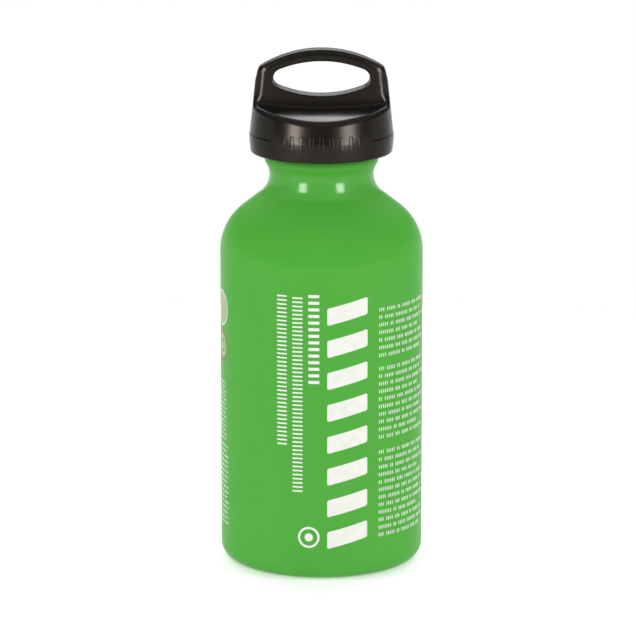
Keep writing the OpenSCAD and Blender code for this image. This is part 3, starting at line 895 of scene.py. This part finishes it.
world = bpy.data.worlds.new("surround")
bpy.context.scene.world = world
world.use_nodes = True
tree = world.node_tree
backing = tree.nodes["Background"]
backing.inputs["Color"].default_value = (1, 1, 1, 1)
direction = tree.nodes.new("ShaderNodeTexCoord")
parts = tree.nodes.new("ShaderNodeSeparateXYZ")
tree.links.new(direction.outputs["Generated"], parts.inputs["Vector"])


def band_of(axis, start, end, low, high):
    """A brightness that turns smoothly from low to high as the direction's share of an axis grows."""
    ramp = tree.nodes.new("ShaderNodeMapRange")
    ramp.interpolation_type = "SMOOTHSTEP"
    ramp.inputs["From Min"].default_value = start
    ramp.inputs["From Max"].default_value = end
    ramp.inputs["To Min"].default_value = low
    ramp.inputs["To Max"].default_value = high
    tree.links.new(parts.outputs[axis], ramp.inputs["Value"])
    return ramp.outputs["Result"]


def sum_or_product(kind, first, second):
    """The two brightnesses added or multiplied."""
    node = tree.nodes.new("ShaderNodeMath")
    node.operation = kind
    for socket, value in zip(node.inputs, (first, second)):
        if isinstance(value, float):
            socket.default_value = value
        else:
            tree.links.new(value, socket)
    return node.outputs["Value"]


def product(first, second):
    """Two brightnesses multiplied."""
    return sum_or_product("MULTIPLY", first, second)


near_floor = product(band_of("Z", -0.02, 0.2, 1.0, 0.1), band_of("Y", -0.9, -0.1, 0.22, 0.6))
table_front = product(band_of("Z", -0.2, -0.05, 0.85, 0.0), band_of("Y", -0.6, 0.0, 1.0, 0.0))
table_behind = product(band_of("Y", 0.6, 0.95, 0.0, 0.35), band_of("Z", -0.1, 0.05, 1.0, 0.0))
overhead = product(band_of("Z", 0.45, 0.8, 0.0, 1.0), band_of("Y", -0.6, 0.3, 0.4, 0.35))
middle = product(band_of("X", -0.4, -0.25, 0.0, 1.0), band_of("X", 0.25, 0.4, 1.0, 0.0))
above_low = product(middle, band_of("Z", 0.2, 0.36, 0.0, 1.0))
behind = product(band_of("Y", 0.5, 0.7, 0.0, 3.0), above_low)
light = near_floor
for part in (table_front, table_behind, overhead, behind):
    light = sum_or_product("ADD", light, part)
ray = tree.nodes.new("ShaderNodeLightPath")
seen = sum_or_product("MAXIMUM", light, ray.outputs["Is Camera Ray"])
tree.links.new(seen, backing.inputs["Strength"])

# The lamps. Five large screens stand all round and give even light without a gloss. Two tall strip
# boxes in front, left and right, draw the light lines on the cap, its grip bars and the neck's coat.
# They light nothing else.
screen_count, screen_distance, screen_height, screen_size, screen_power = 5, 1.6, 1.0, 0.9, 12.6
strip_foot, strip_head = Vector((0.70, -0.85, 0.0)), Vector((0.76, -0.80, 0.84))
strip_width, strip_power = 0.32, 13.6
strip_aim = Vector((0, 0, 0.14))


def soft_box(name, foot, head, aim, width, power):
    """A rectangular lamp that stands from foot to head and faces a point, out of the camera's sight."""
    lamp = bpy.data.lights.new(name, "AREA")
    lamp.shape = "RECTANGLE"
    lamp.size = width
    lamp.size_y = (head - foot).length
    lamp.energy = power
    box = bpy.data.objects.new(name, lamp)
    bpy.context.scene.collection.objects.link(box)
    box.location = (foot + head) / 2
    along = (head - foot).normalized()
    across = along.cross(box.location - aim).normalized()
    box.rotation_euler = Matrix((across, along, across.cross(along))).transposed().to_euler()
    box.visible_camera = False
    return box


for number in range(screen_count):
    turn = number * 2 * math.pi / screen_count
    foot = Vector((screen_distance * math.sin(turn), -screen_distance * math.cos(turn),
                   screen_height - screen_size / 2))
    screen = soft_box("screen_" + str(number + 1), foot, foot + Vector((0, 0, screen_size)),
                      Vector((0, 0, screen_height)), screen_size, screen_power)
    screen.visible_glossy = False
glossy_pieces = bpy.data.collections.new("glossy_pieces")
for piece in (cap, bars, neck_coat):
    glossy_pieces.objects.link(piece)
mirror = Matrix.Diagonal((-1, 1, 1))
for name, foot, head in (("left_strip", mirror @ strip_foot, mirror @ strip_head),
                         ("right_strip", strip_foot, strip_head)):
    strip = soft_box(name, foot, head, strip_aim, strip_width, strip_power)
    strip.visible_diffuse = False
    strip.light_linking.receiver_collection = glossy_pieces

# The camera, as far away and as high as the photograph's, with its long lens.
camera_data = bpy.data.cameras.new("camera")
camera_data.sensor_width = 36
camera_data.lens = 266.0
camera_data.clip_end = 50
camera = bpy.data.objects.new("camera", camera_data)
bpy.context.scene.collection.objects.link(camera)
distance, elevation = 1.7, math.radians(12.81)
target = Vector((-0.00127, 0, 0.08853))
camera.location = target + Vector((0, -distance * math.cos(elevation), distance * math.sin(elevation)))
camera.rotation_euler = (target - camera.location).to_track_quat("-Z", "Y").to_euler()
bpy.context.scene.camera = camera
bpy.context.scene.view_settings.view_transform = "Standard"

bpy.context.view_layer.update()
